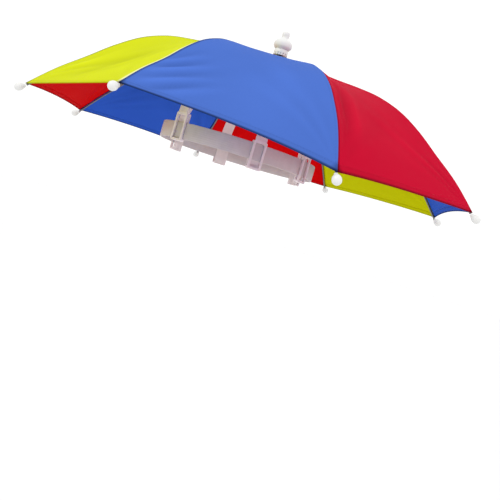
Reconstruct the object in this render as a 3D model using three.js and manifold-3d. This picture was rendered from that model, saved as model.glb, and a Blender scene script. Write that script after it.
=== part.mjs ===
// Umbrella hat: eight cloth panels on wire ribs, carried over the head by six strap arms and an oval band.
// Millimetres, +Z up. The wearer faces -Y. The origin is on the shaft's axis, at half the height of the band.
import * as THREE from "three";
import { mergeVertices } from "three/addons/utils/BufferGeometryUtils.js";
import Module from "manifold-3d";

// Fits
const GAP = 0.3; // between pieces that rest on each other
const RUNNING_GAP = 0.4; // round the shaft, and between a fork and its rib
const RIB_GAP = 0.5; // from the cloth down to its ribs

// Canopy
const CANOPY_RADIUS = 260; // from the axis to a cloth corner
const CANOPY_HEIGHT = 117; // from the corners up to the apex
const CORNER_LEVEL = 3; // height of the corners over the band's middle
const CLOTH = 1;
const HEM_HOLLOW = 5; // deepest hollow of a hem between two ribs
const PANEL_SAG = 2.5; // deepest dip of a panel between two ribs
const RIB_WIRE = 2;
const CAP_LENGTH = 12.5;
const CAP_DIAMETER = 8.8;
const CAP_TILT = 18; // degrees that a cap points up from its rib's end

// Parts on the axis
const SHAFT_DIAMETER = 8;
const FINIAL_HEIGHT = 29;
const FINIAL_DIAMETER = 21.5;
const FLUTE_DEPTH = 1.1;
const NOTCH_DIAMETER = 24;
const NOTCH_HEIGHT = 8;
const RUNNER_DIAMETER = 20;
const RUNNER_HEIGHT = 12;
const RUNNER_REST = 1; // from the hub up to the runner
const HUB_DIAMETER = 44;
const HUB_HEIGHT = 4;
const HUB_DROP = 36; // from the cloth's apex down to the hub's foot

// Stretchers
const STRETCHER_WIRE = 2;
const STRETCHER_REACH = 105; // from the axis to the fork
const FORK_LENGTH = 8;
const FORK_WALL = 1.5;

// Headband and arms
const HEAD_LENGTH = 190; // inside the band, front to back
const HEAD_WIDTH = 156; // inside the band, side to side
const HEAD_FORWARD = 18; // the band's centre ahead of the shaft's axis
const BAND_WIDTH = 17.5;
const BAND_WALL = 1.5;
const ARM_WIDTH = 13;
const ARM_WALL = 2;
const ARM_TUCK = 6.5; // length of an arm under the hub
const BUCKLE_WIDTH = 15.5;
const BUCKLE_HEIGHT = 30;
const BUCKLE_BAR = 2.4;
const BUCKLE_WALL = 2;
const BUCKLE_BACK = 1;

// Fineness of the faceted shapes
const PANEL_ROWS = 18;
const PANEL_COLUMNS = 6;
const ARM_ROWS = 12;
const BAND_SIDES = 72;
const HUB_SIDES = 32;
const RING_SIDES = 24;
const SHAFT_SIDES = 16;
const CAP_SIDES = 10;
const RIB_SEGMENTS = 3;
const STRETCHER_SEGMENTS = 4;
const SEAM_STEP = 0.002; // share of a seam over which its direction is taken
const HALVINGS = 40; // steps of the search for a reach

// How far the cloth has come down, a share of CANOPY_HEIGHT, at each reach, a share of CANOPY_RADIUS
const CROWN = [
  { reach: 0, drop: 0 },
  { reach: 0.1, drop: 0.039 },
  { reach: 0.2, drop: 0.075 },
  { reach: 0.3, drop: 0.109 },
  { reach: 0.4, drop: 0.139 },
  { reach: 0.5, drop: 0.185 },
  { reach: 0.6, drop: 0.28 },
  { reach: 0.7, drop: 0.435 },
  { reach: 0.8, drop: 0.624 },
  { reach: 0.9, drop: 0.801 },
  { reach: 1, drop: 1 },
];

// The ribs, anticlockwise from above. Swing turns a rib round the axis, in degrees. The other values are
// shares of CANOPY_HEIGHT: lift raises the rib's end, bow its outer half and crest its middle.
const BEND_START = 0.7; // share of CANOPY_RADIUS where a lift begins
const BOW_START = 0.5; // share of CANOPY_RADIUS where a bow begins
const SADDLE_FALL = 4; // how much faster a saddle falls off than a sag
const RIBS = [
  { swing: 0.6, lift: -0.014, bow: 0.011, crest: 0 },
  { swing: -1.35, lift: 0.09, bow: 0.031, crest: -0.015 },
  { swing: -0.95, lift: -0.1, bow: 0.081, crest: -0.022 },
  { swing: 2.15, lift: -0.01, bow: 0.027, crest: -0.01 },
  { swing: 0, lift: -0.045, bow: 0, crest: 0 },
  { swing: 0.7, lift: 0.017, bow: 0, crest: 0 },
  { swing: 0, lift: 0, bow: 0, crest: 0 },
  { swing: 0.8, lift: 0.002, bow: 0, crest: 0 },
];

// The panels, each from the rib of its own row to the next. Hollow is a share of HEM_HOLLOW. Sag and saddle
// are shares of PANEL_SAG, for the dip over the outer half and the dip nearer the apex.
const PANELS = [
  { name: "panel_front", colour: "yellow", hollow: 0, sag: 2.17, saddle: 1 },
  { name: "panel_front_left", colour: "blue", hollow: 0.95, sag: 1.09, saddle: 0 },
  { name: "panel_left", colour: "red", hollow: 0.4, sag: 1.9, saddle: 0.92 },
  { name: "panel_back_left", colour: "blue", hollow: 0.95, sag: 1, saddle: 0.5 },
  { name: "panel_back", colour: "yellow", hollow: 0.5, sag: 1, saddle: 0.5 },
  { name: "panel_back_right", colour: "red", hollow: 0.4, sag: 1, saddle: 0.5 },
  { name: "panel_right", colour: "blue", hollow: 0.9, sag: 1, saddle: 0.5 },
  { name: "panel_front_right", colour: "red", hollow: 0.7, sag: 1, saddle: 0.5 },
];

// The finial's outline from its foot up, as shares of FINIAL_HEIGHT and half of FINIAL_DIAMETER
const FINIAL = [
  { level: 0, radius: 0.76, fluted: true },
  { level: 0.1, radius: 0.77, fluted: true },
  { level: 0.2, radius: 0.77 },
  { level: 0.235, radius: 0.7 },
  { level: 0.28, radius: 0.84 },
  { level: 0.35, radius: 0.97 },
  { level: 0.43, radius: 1 },
  { level: 0.52, radius: 0.96 },
  { level: 0.6, radius: 0.8 },
  { level: 0.66, radius: 0.57 },
  { level: 0.7, radius: 0.41 },
  { level: 0.77, radius: 0.39 },
  { level: 0.85, radius: 0.42 },
  { level: 0.93, radius: 0.37 },
  { level: 0.975, radius: 0.25 },
  { level: 1, radius: 0 },
];
const FLUTES = 16;

// A cap's outline from its neck out, as shares of CAP_LENGTH and half of CAP_DIAMETER
const CAP = [
  { along: 0, radius: 0.42 },
  { along: 0.12, radius: 0.48 },
  { along: 0.3, radius: 0.8 },
  { along: 0.45, radius: 0.97 },
  { along: 0.6, radius: 1 },
  { along: 0.75, radius: 0.92 },
  { along: 0.9, radius: 0.6 },
  { along: 1, radius: 0 },
];

// The arms: where each meets the band, in degrees round the band's centre, and how far its buckle hangs down,
// as a share of the room that the band leaves it
const ARMS = [
  { name: "arm_front", angle: -83, hang: -1 },
  { name: "arm_front_left", angle: -26, hang: 1 },
  { name: "arm_back_left", angle: 24, hang: 0.2 },
  { name: "arm_back", angle: 90, hang: 0.2 },
  { name: "arm_back_right", angle: 156, hang: 0.2 },
  { name: "arm_front_right", angle: 206, hang: 0.5 },
];

const CLOTH_COLOURS = { yellow: "#d8df1e", blue: "#3f63c4", red: "#c4162a" };

const { clamp, degToRad, lerp } = THREE.MathUtils;
const wasm = await Module();
wasm.setup();

// Places that follow from the sizes
const STEP = (2 * Math.PI) / RIBS.length;
const ribs = RIBS.map((row, i) => ({
  ...row,
  number: i + 1,
  angle: -Math.PI / 2 + (i - 0.5) * STEP + degToRad(row.swing),
}));
const panels = PANELS.map((panel, i) => ({ ...panel, sides: [ribs[i], ribs[(i + 1) % ribs.length]] }));
const turns = panels.map(({ sides: [first, second] }) => STEP + degToRad(second.swing - first.swing));
const MIDDLE_REACH = Math.cos(Math.max(...turns) / 2); // of the widest panel's middle, a share of its ribs'
const APEX = CORNER_LEVEL + CANOPY_HEIGHT;
const APEX_HOLE = (SHAFT_DIAMETER / 2 + GAP) / MIDDLE_REACH;
const HUB_LEVEL = APEX - HUB_DROP;
const HUB_TOP = HUB_LEVEL + HUB_HEIGHT;
const RUNNER_FOOT = HUB_TOP + RUNNER_REST;
const BORE = SHAFT_DIAMETER + 2 * RUNNING_GAP;
const RIB_DEPTH = CLOTH + RIB_GAP + RIB_WIRE / 2; // from the cloth's face down to a rib's centre
const BAND_CENTRE = new THREE.Vector3(0, -HEAD_FORWARD, 0);
const BAND_X = HEAD_WIDTH / 2 + BAND_WALL; // outside half width of the band
const BAND_Y = HEAD_LENGTH / 2 + BAND_WALL; // outside half length of the band
const BUCKLE_ROOM = (BUCKLE_HEIGHT - BAND_WIDTH) / 2 - BUCKLE_BAR - GAP; // from the band to a buckle's bar
const UP = new THREE.Vector3(0, 0, 1);

const crown = new THREE.SplineCurve(
  CROWN.map(({ reach, drop }) => new THREE.Vector2(reach * CANOPY_RADIUS, APEX - drop * CANOPY_HEIGHT)),
);

// A soft hump from 0 to 1, level where it starts and 1 at its top. A higher fall brings its top nearer 0.
function hump(x, fall = 1) {
  const top = 2 / (2 + fall);
  return (x / top) ** 2 * ((1 - x) / (1 - top)) ** fall;
}

// How much higher a rib runs than the crown, at a share of CANOPY_RADIUS.
function bend(rib, share) {
  const end = clamp((share - BEND_START) / (1 - BEND_START), 0, 1);
  const outer = clamp((share - BOW_START) / (1 - BOW_START), 0, 1);
  const middle = Math.sin(Math.PI * share) ** 2;
  return (rib.lift * end ** 2 + rib.bow * hump(outer) + rib.crest * middle) * CANOPY_HEIGHT;
}

// The cloth's face over a rib, in the rib's own upright plane, x out and y up. It runs from the apex at 0 to
// the corner at 1.
function seam(rib, t) {
  const point = crown.getPointAt(clamp(t, 0, 1));
  point.y += bend(rib, point.x / CANOPY_RADIUS);
  return point;
}

function seamDirection(rib, t) {
  return seam(rib, t + SEAM_STEP).sub(seam(rib, t - SEAM_STEP)).normalize();
}

// A point some way under the cloth's face, in the same plane.
function underSeam(rib, t, depth) {
  const along = seamDirection(rib, t);
  return seam(rib, t).add(new THREE.Vector2(along.y, -along.x).multiplyScalar(depth));
}

// The place along a rib, from 0 to 1, where it has a given reach.
function placeAt(rib, reach) {
  let [low, high] = [0, 1];
  for (let i = 0; i < HALVINGS; i++) {
    const middle = (low + high) / 2;
    if (seam(rib, middle).x < reach) low = middle;
    else high = middle;
  }
  return low;
}

// A closed skin over rings of points. A ring lists its upper side from one edge to the other, then its lower
// side back.
function loft(rings) {
  const size = rings[0].length;
  const end = (rings.length - 1) * size;
  const index = [];
  const quad = (a, b, c, d) => index.push(a, b, c, a, c, d);
  for (let start = 0; start < end; start += size)
    for (let i = 0; i < size; i++) {
      const next = (i + 1) % size;
      quad(start + i, start + size + i, start + size + next, start + next);
    }
  for (let i = 0; i < size / 2 - 1; i++) {
    const below = size - 1 - i;
    quad(i, i + 1, below - 1, below);
    quad(end + i, end + below, end + below - 1, end + i + 1);
  }
  const geometry = new THREE.BufferGeometry().setFromPoints(rings.flat()).setIndex(index);
  geometry.computeVertexNormals();
  return geometry;
}

function circle(radius) {
  return new THREE.Shape().absarc(0, 0, radius, 0, 2 * Math.PI);
}

// A solid turned round its Z axis, from an outline of [radius, height] pairs.
function turned(outline, sides) {
  const points = outline.map(([radius, level]) => new THREE.Vector2(radius, level));
  return new THREE.LatheGeometry(points, sides).rotateX(Math.PI / 2);
}

function ring(outer, bore, foot, height, sides) {
  const top = foot + height;
  const corners = [[bore, foot], [outer, foot], [outer, top], [bore, top], [bore, foot]];
  return turned(corners.map(([diameter, level]) => [diameter / 2, level]), sides);
}

function disc(diameter, foot, height, sides) {
  return new THREE.CylinderGeometry(diameter / 2, diameter / 2, height, sides)
    .rotateX(Math.PI / 2)
    .translate(0, 0, foot + height / 2);
}

function solid(geometry) {
  const bare = geometry.clone().deleteAttribute("normal").deleteAttribute("uv");
  const merged = mergeVertices(bare, 1e-4);
  return new wasm.Manifold(
    new wasm.Mesh({
      numProp: 3,
      vertProperties: merged.attributes.position.array,
      triVerts: new Uint32Array(merged.index.array),
    }),
  );
}

function joined(geometries) {
  const mesh = geometries.map(solid).reduce((whole, piece) => whole.add(piece)).getMesh();
  const geometry = new THREE.BufferGeometry();
  geometry.setAttribute("position", new THREE.BufferAttribute(mesh.vertProperties, 3));
  geometry.setIndex(new THREE.BufferAttribute(mesh.triVerts, 1));
  geometry.computeVertexNormals();
  return geometry;
}

// A point of a panel's upper face and the face's direction there, at a place along its seams and a share of
// its width.
function clothPoint(panel, place, share) {
  const [from, to] = panel.sides.map((rib) => {
    const out = new THREE.Vector3(Math.cos(rib.angle), Math.sin(rib.angle), 0);
    const at = seam(rib, place);
    const along = seamDirection(rib, place);
    return {
      point: out.clone().multiplyScalar(at.x).addScaledVector(UP, at.y),
      normal: out.multiplyScalar(-along.y).addScaledVector(UP, along.x),
    };
  });
  const inset = GAP / 2 / (from.point.distanceTo(to.point) * MIDDLE_REACH);
  const across = lerp(inset, 1 - inset, share);
  const normal = from.normal.lerp(to.normal, across).normalize();
  const depth = PANEL_SAG * (panel.sag * hump(place) + panel.saddle * hump(place, SADDLE_FALL));
  const dip = depth * 4 * across * (1 - across);
  return { point: from.point.lerp(to.point, across).addScaledVector(normal, -dip), normal };
}

function panelGeometry(panel) {
  const start = placeAt(panel.sides[0], APEX_HOLE);
  const hollow = (panel.hollow * HEM_HOLLOW) / crown.getLength();
  const rings = [];
  for (let row = 0; row <= PANEL_ROWS; row++) {
    const upper = [];
    const lower = [];
    for (let column = 0; column <= PANEL_COLUMNS; column++) {
      const share = column / PANEL_COLUMNS;
      const end = 1 - hollow * 4 * share * (1 - share);
      const { point, normal } = clothPoint(panel, lerp(start, end, row / PANEL_ROWS), share);
      upper.push(point);
      lower.unshift(point.clone().addScaledVector(normal, -CLOTH));
    }
    rings.push([...upper, ...lower]);
  }
  return loft(rings);
}

// A rib's centre line in its own plane, from the notch to the cloth's corner.
class RibLine extends THREE.Curve {
  constructor(rib) {
    super();
    this.rib = rib;
    const edge = NOTCH_DIAMETER / 2 + GAP;
    const fall = -seamDirection(rib, placeAt(rib, edge)).y;
    this.start = placeAt(rib, edge + (RIB_DEPTH + RIB_WIRE / 2) * fall);
  }
  getPoint(share, target = new THREE.Vector3()) {
    const at = underSeam(this.rib, lerp(this.start, 1, share), RIB_DEPTH);
    return target.set(at.x, 0, at.y);
  }
}

function ribGeometry(rib) {
  return new THREE.ExtrudeGeometry(circle(RIB_WIRE / 2), {
    steps: PANEL_ROWS,
    curveSegments: RIB_SEGMENTS,
    extrudePath: new RibLine(rib),
  });
}

// A cap beyond its rib's end, far enough out for its tilted foot to clear the cloth's corner.
function capMesh(rib, material) {
  const line = new RibLine(rib);
  const direction = line.getTangent(1);
  const outline = CAP.map(({ along, radius }) => [(radius * CAP_DIAMETER) / 2, along * CAP_LENGTH]);
  const [foot] = outline[0];
  const tilt = degToRad(CAP_TILT);
  const cap = new THREE.Mesh(turned([[0, 0], ...outline], CAP_SIDES), material);
  cap.position.copy(line.getPoint(1)).addScaledVector(direction, GAP + foot * Math.sin(tilt));
  cap.quaternion.setFromUnitVectors(UP, direction.applyAxisAngle(new THREE.Vector3(0, 1, 0), -tilt));
  return cap;
}

// A wire from the runner's rim to a fork under the rib, in the rib's own plane.
function stretcherGeometry(rib) {
  const place = placeAt(rib, STRETCHER_REACH);
  const ribCentre = underSeam(rib, place, RIB_DEPTH);
  const slope = seamDirection(rib, place).angle();
  const half = RIB_WIRE / 2 + RUNNING_GAP;
  const wall = half + FORK_WALL;
  const floor = half + STRETCHER_WIRE + GAP;
  const cheek = [[wall, -floor], [wall, 0], [half, 0], [half, -half]];
  const otherCheek = cheek.map(([x, y]) => [-x, y]).reverse();
  const fork = new THREE.Shape([...cheek, ...otherCheek].map(([x, y]) => new THREE.Vector2(x, y)));
  const forkGeometry = new THREE.ExtrudeGeometry(fork, { depth: FORK_LENGTH, bevelEnabled: false })
    .translate(0, 0, -FORK_LENGTH / 2)
    .rotateX(Math.PI / 2)
    .rotateZ(Math.PI / 2)
    .rotateY(-slope)
    .translate(ribCentre.x, 0, ribCentre.y);
  const start = new THREE.Vector3(RUNNER_DIAMETER / 2 + GAP, 0, RUNNER_FOOT + RUNNER_HEIGHT / 2);
  const foot = underSeam(rib, place, RIB_DEPTH + floor - STRETCHER_WIRE / 2 - GAP / 2);
  const wire = new THREE.ExtrudeGeometry(circle(STRETCHER_WIRE / 2), {
    steps: 1,
    curveSegments: STRETCHER_SEGMENTS,
    extrudePath: new THREE.LineCurve3(start, new THREE.Vector3(foot.x, 0, foot.y)),
  });
  return joined([wire, forkGeometry]);
}

function finialGeometry() {
  const outline = FINIAL.map(({ level, radius }) => [(radius * FINIAL_DIAMETER) / 2, level * FINIAL_HEIGHT]);
  const geometry = turned([[0, 0], ...outline], 2 * FLUTES);
  const position = geometry.attributes.position;
  const rows = outline.length + 1;
  for (let side = 1; side < 2 * FLUTES; side += 2)
    FINIAL.forEach(({ radius, fluted }, i) => {
      if (!fluted) return;
      const vertex = side * rows + i + 1;
      const shrink = 1 - FLUTE_DEPTH / ((radius * FINIAL_DIAMETER) / 2);
      position.setXY(vertex, position.getX(vertex) * shrink, position.getY(vertex) * shrink);
    });
  return geometry;
}

// The oval through the band's outside: a point on it, and the directions out of it and round it.
function onBand(angle) {
  const [cos, sin] = [Math.cos(angle), Math.sin(angle)];
  const reach = 1 / Math.hypot(cos / BAND_X, sin / BAND_Y);
  const point = new THREE.Vector3(reach * cos, reach * sin, 0);
  const out = new THREE.Vector3(point.x / BAND_X ** 2, point.y / BAND_Y ** 2, 0).normalize();
  return { point: point.add(BAND_CENTRE), out, round: UP.clone().cross(out) };
}

// A buckle at the band: a frame outside it and a plate inside it, joined over and under it.
function buckleGeometries({ point, out, round }, middle) {
  const bow = BUCKLE_WIDTH ** 2 / 8 / (BAND_X ** 2 / BAND_Y); // the band's curve across a buckle
  const depth = BUCKLE_WALL + GAP + BAND_WALL + bow + GAP + BUCKLE_BACK;
  const face = GAP + BUCKLE_WALL;
  const corners = (inset) => {
    const [x, y] = [BUCKLE_WIDTH / 2 - inset, BUCKLE_HEIGHT / 2 - inset];
    return [[-x, -y], [x, -y], [x, y], [-x, y]].map(([a, b]) => new THREE.Vector2(a, b));
  };
  const frame = new THREE.Shape(corners(0));
  frame.holes.push(new THREE.Path(corners(BUCKLE_BAR).reverse()));
  const back = new THREE.BoxGeometry(BUCKLE_WIDTH, BUCKLE_HEIGHT, BUCKLE_BACK);
  const place = new THREE.Matrix4()
    .makeBasis(round, UP, out)
    .setPosition(point.clone().addScaledVector(UP, middle));
  return [
    new THREE.ExtrudeGeometry(frame, { depth: BUCKLE_WALL, bevelEnabled: false }).translate(0, 0, GAP),
    back.translate(0, 0, face - depth + BUCKLE_BACK / 2),
    ...[-1, 1].map((side) =>
      new THREE.BoxGeometry(BUCKLE_WIDTH, BUCKLE_BAR, depth).translate(
        0,
        side * (BUCKLE_HEIGHT - BUCKLE_BAR) / 2,
        face - depth / 2,
      ),
    ),
  ].map((geometry) => geometry.applyMatrix4(place));
}

// An arm leaves the hub level, comes down in a quarter oval and turns to lie flat against its buckle.
function armGeometry({ angle, hang }) {
  const seat = onBand(degToRad(angle));
  const middle = -hang * BUCKLE_ROOM;
  const foot = seat.point.clone().addScaledVector(seat.out, GAP + BUCKLE_WALL / 2);
  foot.z = middle + BUCKLE_HEIGHT / 2 - BUCKLE_BAR / 2;
  const away = foot.clone().setZ(0).normalize();
  const start = HUB_DIAMETER / 2 - ARM_TUCK;
  const end = Math.hypot(foot.x, foot.y);
  const top = HUB_LEVEL - GAP - ARM_WALL / 2;
  const rings = [];
  for (let row = 0; row <= ARM_ROWS; row++) {
    const turn = (row / ARM_ROWS) * (Math.PI / 2);
    const centre = away
      .clone()
      .multiplyScalar(lerp(start, end, Math.sin(turn)))
      .setZ(lerp(foot.z, top, Math.cos(turn)));
    const along = away
      .clone()
      .multiplyScalar((end - start) * Math.cos(turn))
      .setZ((foot.z - top) * Math.sin(turn))
      .normalize();
    const side = UP.clone().cross(away).lerp(seat.round, row / ARM_ROWS).normalize();
    const out = along.clone().cross(side).normalize().multiplyScalar(ARM_WALL / 2);
    side.multiplyScalar(ARM_WIDTH / 2);
    rings.push([
      centre.clone().sub(side).add(out),
      centre.clone().add(side).add(out),
      centre.clone().add(side).sub(out),
      centre.clone().sub(side).sub(out),
    ]);
  }
  return joined([loft(rings), ...buckleGeometries(seat, middle)]);
}

function bandGeometry() {
  const oval = (wall) => [0, 0, BAND_X - wall, BAND_Y - wall, 0, 2 * Math.PI];
  const shape = new THREE.Shape().absellipse(...oval(0));
  shape.holes.push(new THREE.Path().absellipse(...oval(BAND_WALL)));
  const options = { depth: BAND_WIDTH, bevelEnabled: false, curveSegments: BAND_SIDES / 2 };
  return new THREE.ExtrudeGeometry(shape, options)
    .translate(0, 0, -BAND_WIDTH / 2)
    .translate(BAND_CENTRE.x, BAND_CENTRE.y, BAND_CENTRE.z);
}

function finish(name, color, roughness, metalness) {
  return new THREE.MeshStandardMaterial({ name, color, roughness, metalness });
}

const cloth = Object.fromEntries(
  Object.entries(CLOTH_COLOURS).map(([name, color]) => [name, finish(`cloth_${name}`, color, 0.75, 0)]),
);
const plastic = finish("plastic", "#e6e6e2", 0.4, 0);
const steel = finish("steel", "#3c3e42", 0.4, 0.9);
const strap = finish("strap", "#d9cfcc", 0.5, 0);

const hat = new THREE.Group();

function add(name, geometry, material) {
  const mesh = new THREE.Mesh(geometry, material);
  mesh.name = name;
  hat.add(mesh);
}

panels.forEach((panel) => add(panel.name, panelGeometry(panel), cloth[panel.colour]));

ribs.forEach((rib) => {
  const spoke = new THREE.Group();
  spoke.rotation.z = rib.angle;
  const pieces = {
    rib: new THREE.Mesh(ribGeometry(rib), steel),
    cap: capMesh(rib, plastic),
    stretcher: new THREE.Mesh(stretcherGeometry(rib), steel),
  };
  Object.entries(pieces).forEach(([kind, mesh]) => {
    mesh.name = `${kind}_${rib.number}`;
    spoke.add(mesh);
  });
  hat.add(spoke);
});

const notchEdge = placeAt(ribs[0], NOTCH_DIAMETER / 2 / MIDDLE_REACH);
const notchTop = Math.min(...panels.map((panel) => clothPoint(panel, notchEdge, 0.5).point.z)) - CLOTH - GAP;
add("finial", finialGeometry().translate(0, 0, APEX + GAP), plastic);
add("notch", ring(NOTCH_DIAMETER, BORE, notchTop - NOTCH_HEIGHT, NOTCH_HEIGHT, RING_SIDES), plastic);
add("shaft", disc(SHAFT_DIAMETER, HUB_TOP + GAP, APEX - HUB_TOP - GAP, SHAFT_SIDES), steel);
add("runner", ring(RUNNER_DIAMETER, BORE, RUNNER_FOOT, RUNNER_HEIGHT, RING_SIDES), plastic);
add("hub", disc(HUB_DIAMETER, HUB_LEVEL, HUB_HEIGHT, HUB_SIDES), plastic);
ARMS.forEach((arm) => add(arm.name, armGeometry(arm), strap));
add("headband", bandGeometry(), strap);

export default hat;
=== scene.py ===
"""Umbrella hat: eight cloth panels on wire ribs, worn over the head on six strap arms and an oval headband.

The packed frame gives every piece its place. Lengths are metres, +Z is up and the wearer faces -Y.
"""

import math

import bmesh
import bpy
import numpy as np
from bpy.props import FloatProperty, FloatVectorProperty, PointerProperty
from mathutils import Matrix, Vector


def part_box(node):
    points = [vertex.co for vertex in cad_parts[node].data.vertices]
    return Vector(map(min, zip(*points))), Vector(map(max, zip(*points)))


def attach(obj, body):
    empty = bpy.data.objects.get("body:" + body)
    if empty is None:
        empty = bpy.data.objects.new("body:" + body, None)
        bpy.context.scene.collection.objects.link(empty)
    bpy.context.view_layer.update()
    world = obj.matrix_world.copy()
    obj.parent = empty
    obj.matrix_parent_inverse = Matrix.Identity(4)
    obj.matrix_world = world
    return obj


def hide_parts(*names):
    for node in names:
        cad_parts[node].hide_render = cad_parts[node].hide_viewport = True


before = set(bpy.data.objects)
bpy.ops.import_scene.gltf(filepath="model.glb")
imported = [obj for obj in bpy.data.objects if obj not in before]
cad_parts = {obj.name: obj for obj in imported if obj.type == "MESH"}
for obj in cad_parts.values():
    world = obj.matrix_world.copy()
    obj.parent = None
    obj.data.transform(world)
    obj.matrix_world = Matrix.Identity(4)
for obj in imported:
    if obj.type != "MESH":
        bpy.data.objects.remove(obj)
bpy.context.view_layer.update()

bl_info = {
    "name": "Umbrella hat",
    "version": (1, 0, 0),
    "blender": (4, 5, 0),
    "location": "3D View > Sidebar > Umbrella hat",
    "description": "Builds an umbrella hat on its packed frame",
    "category": "Object",
}

MM = 0.001
TINY = 1e-6  # points closer than this are one
GAP = 0.3 * MM  # between pieces that rest on each other
SHAFT_RADIUS = 4 * MM
BORE = SHAFT_RADIUS + 0.4 * MM  # radius of the hole in a ring on the shaft
UP = Vector((0, 0, 1))

# The cloth's line over a rib: reach from the axis as a share of the radius, and drop as a share of the height
CROWN = (
    (0.0, 0.0),
    (0.1, 0.039),
    (0.2, 0.075),
    (0.3, 0.109),
    (0.4, 0.139),
    (0.5, 0.185),
    (0.6, 0.28),
    (0.7, 0.435),
    (0.8, 0.624),
    (0.9, 0.801),
    (1.0, 1.0),
)
BEND_START = 0.7  # share of the radius where a rib's lift begins
BOW_START = 0.5  # share of the radius where its bow begins

# Swing in degrees, and lift, bow and crest as shares of the height, of each rib anticlockwise from above
RIBS = (
    (0.6, -0.014, 0.011, 0.0),
    (-1.35, 0.09, 0.031, -0.015),
    (-0.95, -0.1, 0.081, -0.022),
    (2.15, -0.01, 0.027, -0.01),
    (0.0, -0.045, 0.0, 0.0),
    (0.7, 0.017, 0.0, 0.0),
    (0.0, 0.0, 0.0, 0.0),
    (0.8, 0.002, 0.0, 0.0),
)
STEP = 2 * math.pi / len(RIBS)
WIDEST = STEP + math.radians(max(after[0] - rib[0] for rib, after in zip(RIBS, RIBS[1:] + RIBS[:1])))

# Each panel from the rib of its own row to the next: its place, colour, hollow, sag and saddle, then the
# pulls that fan out of its corners at its first and its second rib: how many, height and reach in mm
PANELS = (
    ("front", "yellow", 0.0, 2.17, 1.0, (3.0, 0.5, 60), (3.0, 0.2, 45)),
    ("front_left", "blue", 0.95, 1.09, 0.0, (3.0, 0.2, 45), (3.0, 0.3, 45)),
    ("left", "red", 0.4, 1.9, 0.92, (2.5, 0.3, 50), (3.5, 0.5, 50)),
    ("back_left", "blue", 0.95, 1.0, 0.5, (3.5, 0.5, 50), (3.0, 0.4, 60)),
    ("back", "yellow", 0.5, 1.0, 0.5, (3.0, 0.4, 55), (3.5, 0.5, 50)),
    ("back_right", "red", 0.4, 1.0, 0.5, (3.5, 0.5, 50), (3.0, 0.4, 60)),
    ("right", "blue", 0.9, 1.0, 0.5, (3.0, 0.4, 55), (4.0, 0.4, 50)),
    ("front_right", "red", 0.7, 1.0, 0.5, (3.5, 0.5, 50), (3.0, 0.5, 55)),
)

# Each cloth: its colour, how dark the painted shade along its hem's border is, and how strong the painted
# highlight on the ridge along a panel's last seam
CLOTHS = (("yellow", 0.2, 0.8), ("blue", 0.7, 0.0), ("red", 0.55, 0.0))
# Tint of the painted highlight on the ridge along a panel's last seam
RIDGE_HIGHLIGHT = (0.82, 0.8, 0.5)
WORN_STEEL = (0.12, 0.11, 0.1)
THREAD = 0.7 * MM  # from one thread of the weave to the next
STITCH = 2.8 * MM  # from one stitch to the next
SEAM_WIDTH = 4.5 * MM  # of the cloth folded double along a seam

BODY_ROWS, HEM_ROWS, COLUMNS = 96, 15, 57  # of a panel's mesh
HEM_START = 0.965  # share of a panel's length where its rows get closer

# Straight folds, each strongest near its start: start and end as place along the panel and share across it,
# then half width and height in mm
FOLDS = {
    "front": (
        (0.97, 0.1, 0.5, 0.35, 8, 0.8),
        (0.95, 0.35, 0.5, 0.6, 10, -1.0),
        (0.92, 0.5, 0.45, 0.85, 6, -0.5),
        (0.85, 0.15, 0.6, 0.2, 4, 0.4),
    ),
    "front_left": (
        (0.78, 0.0, 0.61, 0.16, 3.5, -0.7),
        (0.82, 0.0, 0.66, 0.22, 4.5, 1.5),
        (0.855, 0.0, 0.695, 0.24, 3.6, -1.5),
        (0.905, 0.01, 0.72, 0.32, 4.8, 1.9),
        (0.94, 0.02, 0.76, 0.33, 3.2, -1.0),
        (0.98, 0.03, 0.805, 0.38, 4.8, 2.0),
        (1.01, 0.06, 0.84, 0.37, 3.6, -1.3),
        (1.03, 0.1, 0.85, 0.46, 5.0, 1.5),
        (0.5, 0.6, 0.9, 0.75, 12, 0.4),
    ),
    "left": (
        (0.58, 0.12, 0.99, 0.02, 9, -2.0),
        (0.64, 0.06, 0.92, 0.04, 2.2, 0.9),
        (0.56, 0.3, 0.96, 0.13, 6, 1.0),
        (0.98, 0.97, 0.6, 0.72, 7, -0.5),
    ),
    "back_left": (
        (0.95, 0.08, 0.55, 0.3, 9, 0.6),
        (0.9, 0.9, 0.6, 0.65, 5, 0.5),
        (0.96, 0.96, 0.72, 0.72, 4, 0.6),
    ),
    "back": (
        (0.95, 0.9, 0.5, 0.7, 10, 0.6),
        (0.88, 0.05, 0.66, 0.3, 4, 0.6),
    ),
    "back_right": (
        (0.96, 0.08, 0.5, 0.3, 9, -0.7),
        (0.9, 0.95, 0.7, 0.7, 4, 0.5),
    ),
    "right": (
        (0.95, 0.9, 0.5, 0.65, 10, 0.6),
        (0.9, 0.05, 0.68, 0.28, 3.5, 0.6),
        (0.97, 0.08, 0.8, 0.3, 3.5, 0.6),
    ),
    "front_right": (
        (0.95, 0.9, 0.5, 0.7, 9, -0.7),
        (0.92, 0.06, 0.66, 0.26, 4, 0.5),
    ),
}
CORNER_ANGLE = math.atan2(1, 0.383)  # between a panel's seam and its hem
SEAM_HOLD = 4 * MM  # folds fade out this near a seam
HEM_HOLD = 8 * MM  # and this near a hem

# Faint unevenness of the cloth: its height, and two waves' lengths across and along a panel
DRIFT = 0.3 * MM
DRIFT_WAVES = ((0.021, 0.055), (0.034, 0.08))

# Each arm: its name, where it meets the band in degrees round the band's centre, and how far its buckle hangs
# down, as a share of the room that the band leaves it
ARMS = (
    ("front", -83, -1.0),
    ("front_left", -26, 1.0),
    ("back_left", 24, 0.2),
    ("back", 90, 0.2),
    ("back_right", 156, 0.2),
    ("front_right", 206, 0.5),
)

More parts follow.
